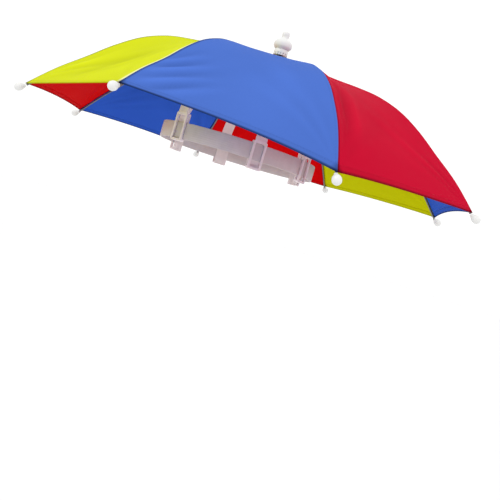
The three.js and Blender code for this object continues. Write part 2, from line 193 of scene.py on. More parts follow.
# Height and radius up the knob, as shares of its height and half of its width
COLLAR = ((0.0, 0.76), (0.1, 0.77), (0.2, 0.77), (0.235, 0.7))
BULB = (
    (0.235, 0.7),
    (0.28, 0.84),
    (0.35, 0.97),
    (0.43, 1.0),
    (0.52, 0.96),
    (0.6, 0.8),
    (0.66, 0.57),
    (0.7, 0.41),
    (0.77, 0.39),
    (0.85, 0.42),
    (0.93, 0.37),
    (0.975, 0.25),
    (1.0, 0.0),
)
FLUTES = 16  # slots round the knob's collar

# Place and radius along an end cap from its neck out, as shares of its length and half of its width
CAP = (
    (0.0, 0.42),
    (0.12, 0.48),
    (0.3, 0.8),
    (0.45, 0.97),
    (0.6, 1.0),
    (0.75, 0.92),
    (0.9, 0.6),
    (1.0, 0.0),
)


def size(name, description, millimetres):
    """A length that a user can change."""
    value = millimetres * MM
    return FloatProperty(name=name, description=description, default=value, unit="LENGTH", precision=5)


def tint(name, description, value):
    """A colour that a user can change."""
    return FloatVectorProperty(
        name=name, description=description, default=value, subtype="COLOR", min=0, max=1
    )


class HatCanopy(bpy.types.PropertyGroup):
    """Sizes and colours of the cloth."""

    radius: size("Radius", "From the axis to a cloth corner", 260)
    height: size("Height", "From the corners up to the apex", 117)
    corner_level: size("Corner level", "Height of the corners over the band's middle", 3)
    hollow: size("Hem hollow", "Deepest hollow of a hem between two ribs", 5)
    sag: size("Panel sag", "Deepest dip of a panel between two ribs", 2.5)
    cloth: size("Cloth", "Thickness of the cloth", 0.4)
    allowance: size("Seam allowance", "Extra thickness along hems and seams", 0.35)
    hem: size("Hem width", "Width of the folded hem", 6)
    yellow: tint("Yellow", "Colour of the yellow cloth's face", (0.55, 0.597, 0.008))
    blue: tint("Blue", "Colour of the blue cloth's face", (0.062, 0.139, 0.485))
    red: tint("Red", "Colour of the red cloth's face", (0.495, 0.0035, 0.026))
    # Underside colours: the cloth's dye, made more saturated than its face with painted light shining through
    # the thin cloth
    yellow_lit_underside: tint("Yellow lining", "Colour of the yellow cloth's underside", (0.52, 0.535, 0.001))
    blue_lit_underside: tint("Blue lining", "Colour of the blue cloth's underside", (0.026, 0.092, 0.5))
    red_lit_underside: tint("Red lining", "Colour of the red cloth's underside", (0.58, 0.001, 0.002))


class HatWires(bpy.types.PropertyGroup):
    """Sizes and colour of the ribs and stretchers."""

    rib: size("Rib wire", "Diameter of a rib", 2)
    rib_depth: size("Rib depth", "From the cloth's face down to a rib's centre", 2.5)
    stretcher: size("Stretcher wire", "Diameter of a stretcher", 2)
    reach: size("Stretcher reach", "From the axis to a stretcher's fork", 105)
    fork: size("Fork length", "Length of a fork along its rib", 8)
    fork_wall: size("Fork wall", "Thickness of a fork's cheeks", 1.5)
    fork_gap: size("Fork gap", "Between a fork and its rib", 0.4)
    steel: tint("Steel", "Colour of the wire", (0.18, 0.175, 0.18))


class HatFittings(bpy.types.PropertyGroup):
    """Sizes and colour of the moulded fittings."""

    cap_length: size("Cap length", "Length of a rib's end cap", 12.5)
    cap: size("Cap width", "Diameter of a rib's end cap", 8.8)
    cap_tilt: FloatProperty(
        name="Cap tilt",
        description="How far a cap points up",
        default=math.radians(18),
        subtype="ANGLE",
    )
    knob_height: size("Knob height", "Height of the knob on top", 29)
    knob: size("Knob width", "Diameter of the knob on top", 21.5)
    flute: size("Flute depth", "Depth of the slots round the knob's collar", 1.1)
    plastic: tint("Plastic", "Colour of the moulded fittings", (0.74, 0.74, 0.725))


class HatHarness(bpy.types.PropertyGroup):
    """Sizes and colour of the arms and the headband."""

    hub_reach: size("Arm start", "From the axis to an arm's start under the hub", 15.5)
    head_length: size("Head length", "Inside the band, front to back", 190)
    head_width: size("Head width", "Inside the band, side to side", 156)
    forward: size("Forward", "The band's centre ahead of the shaft's axis", 18)
    band: size("Band width", "Height of the headband", 17.5)
    band_wall: size("Band wall", "Thickness of the headband", 1.5)
    arm: size("Arm width", "Width of an arm", 13)
    arm_wall: size("Arm wall", "Thickness of an arm", 2)
    buckle: size("Buckle width", "Width of a buckle", 15.5)
    buckle_height: size("Buckle height", "Height of a buckle", 30)
    bar: size("Buckle bar", "Width of a buckle's bars", 2.4)
    buckle_wall: size("Buckle wall", "Thickness of a buckle's front", 2)
    buckle_back: size("Buckle back", "Thickness of a buckle's back", 1)
    strap: tint("Strap", "Colour of the cloudy plastic", (0.86, 0.76, 0.77))


class HatStudio(bpy.types.PropertyGroup):
    """The stage round the hat."""

    floor: size("Floor level", "Height of the floor", -1500)
    lens: FloatProperty(name="Lens", description="Focal length of the camera in millimetres", default=54.29)
    key: FloatProperty(name="Key light", description="Power of the key light", default=9, unit="POWER")
    fill: FloatProperty(name="Fill light", description="Power of the fill light", default=3, unit="POWER")
    backdrop: tint("Backdrop", "Colour of the floor", (0.9, 0.9, 0.9))


class Wire:
    """A shader socket that can be used in a Python expression."""

    def __init__(self, board, socket):
        self.board = board
        self.socket = socket

    def __getitem__(self, name):
        return Wire(self.board, self.socket.node.outputs[name])

    def __add__(self, other):
        return self.board.math("ADD", self, other)

    def __sub__(self, other):
        return self.board.math("SUBTRACT", self, other)

    def __rsub__(self, other):
        return self.board.math("SUBTRACT", other, self)

    def __mul__(self, other):
        return self.board.math("MULTIPLY", self, other)

    def __truediv__(self, other):
        return self.board.math("DIVIDE", self, other)

    def __abs__(self):
        return self.board.math("ABSOLUTE", self)

    __radd__ = __add__
    __rmul__ = __mul__


class Board:
    """The nodes of one material."""

    def __init__(self, name):
        self.material = bpy.data.materials.new(name)
        self.material.use_nodes = True
        self.tree = self.material.node_tree
        self.tree.nodes.clear()

    def add(self, kind, settings=None, sockets=None):
        """Any node, by its settings and then its sockets' values or links. Returns its first output."""
        node = self.tree.nodes.new("ShaderNode" + kind)
        for name, value in (settings or {}).items():
            setattr(node, name, value)
        for name, value in (sockets or {}).items():
            if isinstance(value, Wire):
                self.tree.links.new(value.socket, node.inputs[name])
            else:
                node.inputs[name].default_value = value
        return Wire(self, node.outputs[0]) if node.outputs else None

    def math(self, operation, *values):
        return self.add("Math", {"operation": operation}, dict(enumerate(values)))

    def clamp(self, value):
        return self.add("Math", {"operation": "ADD", "use_clamp": True}, {0: value, 1: 0.0})

    def sine(self, value, period):
        """A wave from -1 to 1 whose period is in metres."""
        return self.math("SINE", value * (2 * math.pi / period))

    def value(self, label):
        """What a piece's points hold under a label."""
        return self.add("Attribute", {"attribute_name": label})["Fac"]

    def near(self, distance, reach, start):
        """1 beside an edge, falling over a reach to 0 at start times the reach."""
        return self.clamp(start - distance / reach)

    def line(self, distance, at, width):
        """1 on a line at a distance, 0 half its width away."""
        return self.clamp(1 - abs(distance - at) / (width / 2))

    def noise(self, scale, detail=3.0, roughness=0.5):
        """Soft clouds, from 0 to 1."""
        place = self.add("TexCoord")["Object"]
        sockets = {"Vector": place, "Scale": scale, "Detail": detail, "Roughness": roughness}
        return self.add("TexNoise", None, sockets)

    def mix(self, factor, first, second, blend="MIX"):
        """A colour between two colours."""
        node = self.add("Mix", {"data_type": "RGBA", "blend_type": blend}).socket.node
        for name, value in (("Factor", factor), ("A", first), ("B", second)):
            socket = next(s for s in node.inputs if s.enabled and s.name == name)
            if isinstance(value, Wire):
                self.tree.links.new(value.socket, socket)
            else:
                socket.default_value = value if name == "Factor" else (*value, 1.0)
        return Wire(self, next(s for s in node.outputs if s.enabled))

    def shade(self, colour, factor):
        """A colour made darker or lighter by a grey factor."""
        grey = self.add("CombineColor", None, {"Red": factor, "Green": factor, "Blue": factor})
        return self.mix(1.0, colour, grey, "MULTIPLY")

    def bump(self, height, strength=1.0):
        """A normal from a height in metres."""
        return self.add("Bump", None, {"Height": height, "Strength": strength, "Distance": 1.0})

    def finish(self, **sockets):
        """The surface shader, by its socket names with _ for a space."""
        named = {name.replace("_", " "): value for name, value in sockets.items()}
        self.add("OutputMaterial", None, {"Surface": self.add("BsdfPrincipled", None, named)})
        return self.material


def cloth_material(sizes, colour, border, ridge):
    """Thin woven nylon with a stitched hem, painted shade along its hem's border and, along its last seam, a
    painted highlight on the ridge.
    """
    board = Board("cloth_" + colour)
    split = board.add("SeparateXYZ", None, {"Vector": board.add("UVMap", {"uv_map": "cloth"})})
    across, along = split["X"], split["Y"]
    first_side, last_side = board.clamp(across * -1000), board.clamp(across * 1000)
    seam, hem, inside, pull = (board.value(label) for label in ("seam", "hem", "inside", "pull"))

    def stitches(edge, at, width, run):
        """A line of stitches beside an edge."""
        return board.line(edge, at, width) * board.clamp(board.sine(run, STITCH) * 3 + 1.5)

    weave = board.sine(across, THREAD) * board.sine(along, THREAD)
    stitch = stitches(hem, 4.8 * MM, 0.55 * MM, across) + stitches(seam, 2.2 * MM, 0.5 * MM, along)
    stitch = board.clamp(stitch)
    fold = board.clamp((sizes.hem - hem) / (0.4 * MM))
    # Painted shade: the hem's border is darkened where the cloth's folded edge would be in shadow
    edge = board.near(hem, 1.6 * MM, 1.4)
    beads = 0.9 + 0.1 * board.sine(along, 1.9 * MM)
    # Painted highlight on the ridge along a panel's last seam, lightened toward a pale tint in soft beads
    pale = ridge * last_side * board.near(seam, 3 * MM, 2.2) * beads
    # Painted shadow beside each seam on a panel's first side, where the seam's folded allowance shades it
    groove = board.near(seam, 1.8 * MM, 1.5) * first_side
    # Painted shadow at each corner, where the cloth tucks under its end cap
    corner = board.near(seam + hem, 6 * MM, 1.5)
    broad = board.noise(9.0, 2.0)
    fine = board.noise(420.0, 2.0, 0.6)
    # Painted light and shade on the folds: by the folds' height, raised folds are lighter and hollows darker
    shade = 0.93 + 0.14 * broad + 0.05 * (fine - 0.5) + 0.03 * weave + 0.1 * pull
    # Darkened by the hem's fold, by painted shade along the hem's border, by painted shadow in the seam's
    # groove and at the corners, and by the stitches
    for depth, mask in ((0.07, fold), (border, edge), (0.55, groove), (0.16, stitch), (0.5, corner)):
        shade = shade * (1 - depth * mask)
    height = 0.018 * MM * weave + 0.2 * MM * fold + 0.12 * MM * stitch - 0.4 * MM * groove + 0.02 * MM * fine
    face = board.mix(pale, getattr(sizes, colour), RIDGE_HIGHLIGHT)
    # The underside takes its own colour, which carries painted light shining through the cloth
    cloth = board.mix(inside, face, getattr(sizes, colour + "_lit_underside"))
    return board.finish(
        Base_Color=board.shade(cloth, shade),
        Roughness=0.6 + 0.12 * broad,
        Specular_IOR_Level=0.012,
        Normal=board.bump(height),
    )


def plastic_material(name, colour):
    """White moulded plastic, faintly clouded and scuffed."""
    board = Board(name)
    cloud = board.noise(60.0, 3.0)
    grain = board.noise(1500.0, 2.0)
    scuff = board.clamp(board.noise(220.0, 4.0, 0.7) * 6 - 3.6)
    shade = 0.94 + 0.08 * cloud - 0.03 * scuff
    return board.finish(
        Base_Color=board.shade(colour, shade),
        Roughness=0.3 + 0.12 * cloud + 0.15 * scuff,
        Subsurface_Weight=0.08,
        Subsurface_Radius=(0.003, 0.003, 0.003),
        Subsurface_Scale=1.0,
        Normal=board.bump(0.006 * MM * grain, 0.5),
    )


def steel_material(name, colour):
    """Bright drawn wire with a brushed finish and darker patches."""
    board = Board(name)
    cloud = board.noise(140.0, 3.0)
    grain = board.noise(2500.0, 2.0, 0.6)
    worn = board.clamp(board.noise(90.0, 5.0, 0.7) * 7 - 4.4)
    tone = board.shade(colour, 0.75 + 0.5 * cloud)
    return board.finish(
        Base_Color=board.mix(worn * 0.6, tone, WORN_STEEL),
        Metallic=0.85,
        Roughness=0.34 + 0.16 * grain,
        Normal=board.bump(0.006 * MM * grain, 0.6),
    )


def strap_material(name, colour, pitch=0.0):
    """Cloudy see-through plastic, denser where it is thick, darker along its edges, ribbed by a pitch."""
    board = Board(name)
    cloud = board.noise(70.0, 4.0, 0.6)
    fine = board.noise(900.0, 2.0)
    thick, edge = board.value("thick"), board.value("edge")
    height = 0.02 * MM * fine + 0.05 * MM * cloud
    if pitch:
        level = board.add("SeparateXYZ", None, {"Vector": board.add("TexCoord")["Object"]})["Z"]
        height = height + 0.05 * MM * board.sine(level, pitch)
    return board.finish(
        Base_Color=board.shade(colour, (0.94 + 0.24 * cloud) * (1 - 0.06 * thick) * (1 - 0.3 * edge)),
        Roughness=0.34 + 0.2 * cloud,
        Alpha=board.clamp(0.62 + 0.16 * cloud + 0.2 * thick + 0.15 * edge),
        Normal=board.bump(height, 0.7),
    )


def backdrop_material(name, colour):
    """Pale paper, faintly uneven."""
    board = Board(name)
    tone = board.shade(colour, 0.98 + 0.03 * board.noise(3.0))
    return board.finish(Base_Color=tone, Roughness=0.9)


def rest():
    """Object mode with nothing selected."""
    if bpy.context.object and bpy.context.object.mode != "OBJECT":
        bpy.ops.object.mode_set(mode="OBJECT")
    bpy.ops.object.select_all(action="DESELECT")


def added(name):
    """The shape that was just added, under its name."""
    bpy.context.object.name = name
    return bpy.context.object


def activate(shape):
    """Object mode with one shape selected and active."""
    rest()
    shape.select_set(True)
    bpy.context.view_layer.objects.active = shape


def edit(shape, kind="FACE"):
    """Edit mode on one shape, all of it selected."""
    activate(shape)
    bpy.ops.object.mode_set(mode="EDIT")
    bpy.ops.mesh.select_mode(type=kind)
    bpy.ops.mesh.select_all(action="SELECT")


def pick_faces(shape, test):
    """Selects the faces in edit mode whose centre and normal pass a test."""
    bpy.ops.mesh.select_all(action="DESELECT")
    mesh = bmesh.from_edit_mesh(shape.data)
    for face in mesh.faces:
        face.select_set(test(face.calc_center_median(), face.normal))
    bmesh.update_edit_mesh(shape.data)


def modify(shape, kind, **settings):
    """Applies a modifier to the active shape."""
    step = shape.modifiers.new(kind.title(), kind)
    for name, value in settings.items():
        setattr(step, name, value)
    bpy.ops.object.modifier_apply(modifier=step.name)


def settle(shape, bevel=0.0, segments=2, angle=32):
    """Merges doubles, turns the faces out, rounds the edges and shades the shape."""
    edit(shape)
    bpy.ops.mesh.remove_doubles(threshold=TINY)
    bpy.ops.mesh.normals_make_consistent(inside=False)
    bpy.ops.object.mode_set(mode="OBJECT")
    limit = math.radians(angle)
    if bevel:
        modify(shape, "BEVEL", width=bevel, segments=segments, angle_limit=limit, use_clamp_overlap=True)
    bpy.ops.object.shade_smooth_by_angle(angle=limit)
    return shape


def smoothed(points, parts, level=False):
    """More points on a soft line through a few. It runs straight out of its ends, or is level there."""
    corners = np.array(points, float)
    before, after = 2 * corners[0] - corners[1], 2 * corners[-1] - corners[-2]
    if level:
        before, after = corners[0], corners[-1]
    ends = np.vstack([before, corners, after])
    line = [corners[0]]
    t = np.linspace(0, 1, parts + 1)[1:, None]
    for a, b, c, d in zip(ends, ends[1:], ends[2:], ends[3:]):
        first, last = (c - a) / 2, (d - b) / 2
        cube, square = 2 * b - 2 * c + first + last, 3 * c - 3 * b - 2 * first - last
        line.extend(cube * t**3 + square * t**2 + first * t + b)
    return line


def turned(name, outline, sides=48, ring=False):
    """A shape turned round Z from pairs of radius and level. A ring's outline ends where it starts."""
    rest()
    radius, level = outline[0]
    fill = "NOTHING" if ring else "NGON"
    bpy.ops.mesh.primitive_circle_add(vertices=sides, radius=radius, fill_type=fill, location=(0, 0, level))
    shape = added(name)
    edit(shape, "EDGE")
    for next_radius, next_level in outline[1:]:
        bpy.ops.mesh.extrude_region_move(TRANSFORM_OT_translate={"value": (0, 0, next_level - level)})
        next_radius = max(next_radius, TINY / 10)
        ratio = next_radius / radius
        bpy.ops.transform.resize(value=(ratio, ratio, 1), center_override=(0, 0, next_level))
        radius, level = next_radius, next_level
    if radius < TINY:
        bpy.ops.mesh.merge(type="CENTER")
    activate(shape)
    bpy.ops.object.transform_apply()
    return shape


def swept(shape, places):
    """Extrudes the flat section of a shape through matrices whose Z axes point along the sweep."""
    edit(shape)
    last = Matrix.Identity(4)
    for number, place in enumerate(places):
        if number:
            bpy.ops.mesh.extrude_region_move()
        move = place @ last.inverted()
        mesh = bmesh.from_edit_mesh(shape.data)
        for vertex in mesh.verts:
            if vertex.select:
                vertex.co = move @ vertex.co
        bmesh.update_edit_mesh(shape.data)
        last = place
    rest()
    return shape


def mirrored(lower, foot, top):
    """An outline from its lower half, from its foot's level to its top's."""
    return lower + [(radius, foot + top - level) for radius, level in reversed(lower)]


def disc(name, diameter, sides=16):
    """A flat round section at the origin."""
    rest()
    bpy.ops.mesh.primitive_circle_add(vertices=sides, radius=diameter / 2, fill_type="NGON")
    return added(name)


def plate(name, width, height, round_off):
    """A flat section at the origin with rounded corners."""
    rest()
    bpy.ops.mesh.primitive_plane_add(size=1)
    shape = added(name)
    shape.scale = (width, height, 1)
    bpy.ops.object.transform_apply()
    edit(shape)
    bpy.ops.mesh.bevel(offset=round_off, segments=4, affect="VERTICES")
    rest()
    return shape


def raised(shape, height, kind="FACE"):
    """Extrudes the flat section of a shape straight up."""
    edit(shape, kind)
    bpy.ops.mesh.extrude_region_move(TRANSFORM_OT_translate={"value": (0, 0, height)})
    rest()
    return shape


def placed(x, y, z, origin):
    """A matrix from its three axes and its origin."""
    matrix = Matrix((x, y, z)).transposed().to_4x4()
    matrix.translation = origin
    return matrix


def mark(mesh, label, values):
    """Gives the points of a mesh a value each, under a label."""
    attribute = mesh.attributes.new(label, "FLOAT", "POINT")
    attribute.data.foreach_set("value", values.astype(np.float32))


def straight_wire(name, diameter, start, end):
    """A round wire between two points, with its ends rounded off."""
    radius, tip, length, round_off = diameter / 2, 0.35 * diameter, (end - start).length, 0.3 * MM
    outline = [(tip, 0), (radius, round_off), (radius, length - round_off), (tip, length)]
    wire = settle(turned(name, outline, 16))
    turn = (end - start).to_track_quat("Z", "Y").to_matrix().to_4x4()
    wire.data.transform(Matrix.Translation(start) @ turn)
    return wire


def block(name, low, high):
    """A straight-sided block between two corners, to be cut or joined."""
    rest()
    low, high = Vector(low), Vector(high)
    bpy.ops.mesh.primitive_cube_add(size=1, location=(low + high) / 2)
    shape = added(name)
    shape.scale = high - low
    bpy.ops.object.transform_apply()
    return shape


def combine(shape, other, operation):
    """Joins another shape to this one, or cuts it away, and removes the other."""
    activate(shape)
    modify(shape, "BOOLEAN", operation=operation, solver="EXACT", object=other)
    bpy.data.objects.remove(other)
    return shape


def copied(shape, name, place):
    """A copy with its own mesh, moved by a matrix."""
    copy = shape.copy()
    copy.data = shape.data.copy()
    copy.name = name
    copy.data.transform(place)
    bpy.context.scene.collection.objects.link(copy)
    return copy


def dress(shape, material, slot, *nodes):
    """Gives a finished piece its material, and puts it in the place of its CAD nodes. Its slot is not used.
    """
    shape.data.materials.clear()
    shape.data.materials.append(material)
    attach(shape, "root")
    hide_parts(*nodes)
    return shape


class Crown:
    """The canopy's lines, from its sizes. A place runs along a rib from 0 at the apex to 1 at the corner."""

    def __init__(self, sizes):
        self.sizes = sizes
        points = [(r * sizes.radius, sizes.corner_level + (1 - d) * sizes.height) for r, d in CROWN]
        line = np.array(smoothed(points, 160, level=True))
        steps = np.linalg.norm(np.diff(line, axis=0), axis=1)
        along = np.concatenate([[0], np.cumsum(steps)])
        self.length = along[-1]
        self.share = along / along[-1]
        self.reach, self.level = line.T

    def seam(self, rib, place):
        """Reach and level of the cloth's face over a rib."""
        _, lift, bow, crest = RIBS[rib % len(RIBS)]
        place = np.clip(place, 0, 1)
        reach = np.interp(place, self.share, self.reach)
        level = np.interp(place, self.share, self.level)
        share = reach / self.sizes.radius
        end = np.clip((share - BEND_START) / (1 - BEND_START), 0, 1)
        outer = np.clip((share - BOW_START) / (1 - BOW_START), 0, 1)
        bend = lift * end**2 + bow * hump(outer) + crest * np.sin(math.pi * share) ** 2
        return reach, level + bend * self.sizes.height

    def slope(self, rib, place, step=0.002):
        """The direction along a rib, out and up."""
        high, low = self.seam(rib, place + step), self.seam(rib, place - step)
        out, up = high[0] - low[0], high[1] - low[1]
        length = np.hypot(out, up)
        return out / length, up / length

    def place_at(self, reach):
        """The place along a rib that lies at a reach from the axis."""
        return float(np.interp(reach, self.reach, self.share))

    def under(self, rib, place, depth):
        """A point under the cloth's face, in the rib's own plane, and the direction along the rib there."""
        reach, level = self.seam(rib, place)
        out, up = self.slope(rib, place)
        return Vector((reach + up * depth, 0, level - out * depth)), Vector((out, 0, up))


def hump(x, fall=1):
    """Starts level at 0, is 1 at its top and ends at 1. A higher fall brings its top nearer the start."""
    top = 2 / (2 + fall)
    return (x / top) ** 2 * ((1 - x) / (1 - top)) ** fall


def rib_turn(rib):
    """The rotation from the XZ plane to a rib's own plane."""
    swing = math.radians(RIBS[rib % len(RIBS)][0])
    return Matrix.Rotation(-math.pi / 2 + (rib - 0.5) * STEP + swing, 4, "Z")


def relief(crown, name, fans, away, width, across, place):
    """Height of the pulls and folds over a panel's face."""

    def laid(fold_place, share):
        """A point of the panel laid flat."""
        reach = np.interp(fold_place, crown.share, crown.reach)
        return np.array([(share - 0.5) * 2 * reach * math.sin(STEP / 2), (1 - fold_place) * crown.length])

    side = (across - 0.5) * width
    height, folds = np.zeros_like(side), np.zeros_like(side)
    for corner, (count, rise, reach) in enumerate(fans):
        near = (1 - across if corner else across) * width
        distance = np.hypot(near, away)
        angle = np.arctan2(near, np.maximum(away, TINY))
        spread = np.clip(angle / CORNER_ANGLE, 0, 1)
        share = distance / (reach * MM)
        wave = np.sin(2 * math.pi * count * spread**0.9 + 0.7 * corner)
        height += rise * MM * wave * share**2 * np.exp(2 * (1 - share)) * np.sin(math.pi * spread)
    for start, start_across, end, end_across, half, rise in FOLDS[name]:
        foot, tip = laid(start, start_across), laid(end, end_across)
        run = tip - foot
        offset = np.stack([side, away], -1) - foot
        share = offset @ run / (run @ run)
        apart = (offset[..., 0] * run[1] - offset[..., 1] * run[0]) / np.hypot(*run)
        fade = np.sin(math.pi * np.clip(share, 0, 1) ** 0.7) ** 1.3
        folds += rise * MM * fade * np.exp(-((apart / (half * MM)) ** 2))
    near = np.minimum(across, 1 - across) * width
    height += folds * (1 - np.exp(-((near / SEAM_HOLD) ** 2))) * (1 - np.exp(-((away / HEM_HOLD) ** 2)))
    seed = sum(map(ord, name))
    (first_across, first_along), (second_across, second_along) = DRIFT_WAVES
    drift = np.sin(side / first_across + seed) * np.sin(away / first_along + 2 * seed)
    drift += 0.6 * np.sin(side / second_across - away / second_along + seed)
    return height + DRIFT * drift * np.sin(math.pi * across) * hump(place)


def panel_piece(crown, number):
    """One cloth panel: a closed sheet between two ribs, its hem and seams folded double underneath."""
    name, colour, hollow, sag, saddle, *fans = PANELS[number]
    sizes = crown.sizes
    closer = np.linspace(HEM_START + 0.003, 1, HEM_ROWS)
    rows = np.concatenate([np.linspace(0, HEM_START, BODY_ROWS), closer])
    even = np.linspace(0, 1, COLUMNS)
    columns = 0.5 * even + 0.25 * (1 - np.cos(math.pi * even))
    row, across = np.meshgrid(rows, columns, indexing="ij")
    start = crown.place_at((SHAFT_RADIUS + GAP) / math.cos(WIDEST / 2))
    end = 1 - hollow * sizes.hollow / crown.length * 4 * across * (1 - across)
    place = start + (end - start) * row
    points, normals = [], []
    for rib in (number, number + 1):
        reach, level = crown.seam(rib, place)
        out, up = crown.slope(rib, place)
        turn = np.array(rib_turn(rib))
        points.append(np.stack([reach * turn[0, 0], reach * turn[1, 0], level], -1))
        normals.append(np.stack([-up * turn[0, 0], -up * turn[1, 0], out], -1))
    share = across[..., None]
    face = points[0] * (1 - share) + points[1] * share
    normal = normals[0] * (1 - share) + normals[1] * share
    normal /= np.linalg.norm(normal, axis=-1, keepdims=True)
    width = np.linalg.norm(points[1] - points[0], axis=-1)
    away = (end - place) * crown.length
    dip = sizes.sag * (sag * hump(place) + saddle * hump(place, 4)) * 4 * across * (1 - across)
    seam = np.minimum(across, 1 - across) * width
    pull = relief(crown, name, fans, away, width, across, place)
    face = face + normal * (pull - dip)[..., None]
    doubled = np.clip((sizes.hem - away) / (0.5 * MM), 0, 1) + np.clip((SEAM_WIDTH - seam) / MM, 0, 1)
    depth = sizes.cloth + sizes.allowance * np.clip(doubled, 0, 1)
    under = face - normal * depth[..., None]
    vertices = np.stack([face, under]).reshape(-1, 3)
    m, n = row.shape
    grid = np.arange(m * n).reshape(m, n)
    a, b, c, d = grid[:-1, :-1], grid[1:, :-1], grid[1:, 1:], grid[:-1, 1:]
    upper = np.stack([a, b, c, d], -1).reshape(-1, 4)
    lower = upper[:, ::-1] + m * n
    rim = np.concatenate([grid[:-1, 0], grid[-1, :-1], grid[:0:-1, -1], grid[0, :0:-1]])
    after = np.roll(rim, -1)
    border = np.stack([rim + m * n, after + m * n, after, rim], -1)
    faces = np.concatenate([upper, lower, border])
    mesh = bpy.data.meshes.new("cloth_" + name)
    mesh.from_pydata(vertices.tolist(), [], faces.tolist())
    laid = np.stack([(across - 0.5) * width, away], -1).reshape(-1, 2)
    layer = mesh.uv_layers.new(name="cloth")
    corner = np.empty(len(mesh.loops), int)
    mesh.loops.foreach_get("vertex_index", corner)
    layer.data.foreach_set("uv", laid[corner % (m * n)].ravel().astype(np.float32))
    # Marks for the material; the folds' height under pull carries painted light on raised folds and painted
    # shade in hollows
    for label, outer, inner in (
        ("seam", seam, seam),
        ("hem", away, away),
        ("pull", pull / MM, -pull / MM),
        ("inside", 0 * seam, 0 * seam + 1),
    ):
        mark(mesh, label, np.stack([outer, inner]).ravel())
    shape = bpy.data.objects.new("cloth_" + name, mesh)
    bpy.context.scene.collection.objects.link(shape)
    activate(shape)
    bpy.ops.object.shade_smooth_by_angle(angle=math.radians(50))
    strips = ((width[:-1] + width[1:]) / 2 * -np.diff(away, axis=0)).sum(axis=0)
    area = float(((strips[:-1] + strips[1:]) / 2 * np.diff(columns)).sum())
    return shape, colour, (float(width.max()), float(away.max())), area


def along_rib(crown, rib, depth, start, rows, clear=0.0):
    """Matrices along a rib, from a reach to its end. X is round the axis and Z along the rib."""
    _, up = crown.slope(rib, crown.place_at(start))
    first = crown.place_at(start - up * clear)  # what hangs clear of the face stays past the reach
    places = []
    for place in np.linspace(first, 1, rows):
        point, out = crown.under(rib, float(place), depth)
        side = Vector((0, 1, 0))
        places.append(rib_turn(rib) @ placed(side, out.cross(side), out, point))
    return places


def oval_radii(sizes):
    """Outside half width and half length of the band."""
    return sizes.head_width / 2 + sizes.band_wall, sizes.head_length / 2 + sizes.band_wall


def on_band(sizes, degrees):
    """A point on the band's outside, and the directions out of it and round it."""
    x, y = oval_radii(sizes)
    cos, sin = math.cos(math.radians(degrees)), math.sin(math.radians(degrees))
    reach = 1 / math.hypot(cos / x, sin / y)
    point = Vector((reach * cos, reach * sin, 0))
    out = Vector((point.x / x**2, point.y / y**2, 0)).normalized()
    return point - Vector((0, sizes.forward, 0)), out, UP.cross(out)


def buckle(sizes):
    """A buckle round the band, its front on Z: a framed window outside the band and a plate inside it."""
    x, y = oval_radii(sizes)
    bow = sizes.buckle**2 / 8 / (x**2 / y)
    depth = sizes.buckle_wall + GAP + sizes.band_wall + bow + GAP + sizes.buckle_back
    face = GAP + sizes.buckle_wall
    outer = Vector((sizes.buckle / 2, sizes.buckle_height / 2))
    inner = outer - Vector((sizes.bar, sizes.bar))
    shape = raised(plate("buckle", sizes.buckle, sizes.buckle_height, 1.3 * MM), depth)
    shape.data.transform(Matrix.Translation((0, 0, face - depth)))
    low, high = face - depth + sizes.buckle_back, GAP
    passage = block("passage", (-sizes.buckle, -inner.y, low), (sizes.buckle, inner.y, high))
    window = raised(plate("window", 2 * inner.x, 2 * inner.y, 0.9 * MM), sizes.buckle_wall * 2)
    for cutter in (passage, window):
        combine(settle(shape), settle(cutter), "DIFFERENCE")
    return shape


def mark_thickness(shape, sizes, seat):
    """Marks the framed bars of a buckle as thick."""
    count = len(shape.data.vertices)
    places = np.empty(count * 3)
    shape.data.vertices.foreach_get("co", places)
    turn = np.array(seat.inverted())
    x, y, z = turn[:3, :3] @ places.reshape(-1, 3).T + turn[:3, 3:]
    x, y, half_width, half_height = np.abs(x), np.abs(y), sizes.buckle / 2, sizes.buckle_height / 2
    framed = (x > half_width - sizes.bar - 0.3 * MM) | (y > half_height - sizes.bar - 0.3 * MM)
    near = (x < half_width + MM) & (y < half_height + MM) & (np.abs(z) < 3 * MM)
    mark(shape.data, "thick", framed & near & (z > 0.2 * MM))


def arm_places(sizes, hub_level, degrees, hang, rows=44):
    """Matrices down an arm, and the matrix of its buckle. X is across the arm and Z along it."""
    point, out, round_band = on_band(sizes, degrees)
    room = sizes.buckle_height / 2 - sizes.bar - GAP - sizes.band / 2
    middle = -hang * room
    foot = point + out * (GAP + sizes.buckle_wall / 2)
    foot.z = middle + sizes.buckle_height / 2 - sizes.bar / 2
    away = Vector((foot.x, foot.y, 0)).normalized()
    start, end = sizes.hub_reach, math.hypot(foot.x, foot.y)
    top = hub_level - GAP - sizes.arm_wall / 2
    places = []
    for share in np.linspace(0, 1, rows):
        turn = share * math.pi / 2
        sin, cos = math.sin(turn), math.cos(turn)
        centre = away * (start + (end - start) * sin)
        centre.z = foot.z + (top - foot.z) * cos
        along = away * ((end - start) * cos)
        along.z = (foot.z - top) * sin
        along.normalize()
        side = UP.cross(away).lerp(round_band, share).normalized()
        face = along.cross(side).normalized()
        places.append(placed(face.cross(along), face, along, centre))
    return places, placed(round_band, UP, out, point + UP * middle)


class HAT_OT_cloth(bpy.types.Operator):
    """Stretches the eight cloth panels over the ribs"""

    bl_idname = "hat.cloth"
    bl_label = "Cloth panels"

    def execute(self, context):
        sizes = context.scene.hat_canopy
        crown = Crown(sizes)
        materials = {cloth[0]: cloth_material(sizes, *cloth) for cloth in CLOTHS}
        for number in range(len(PANELS)):
            shape, colour, flat, area = panel_piece(crown, number)
            dress(shape, materials[colour], "cloth_" + colour, "panel_" + PANELS[number][0])
        rest()
        return {"FINISHED"}


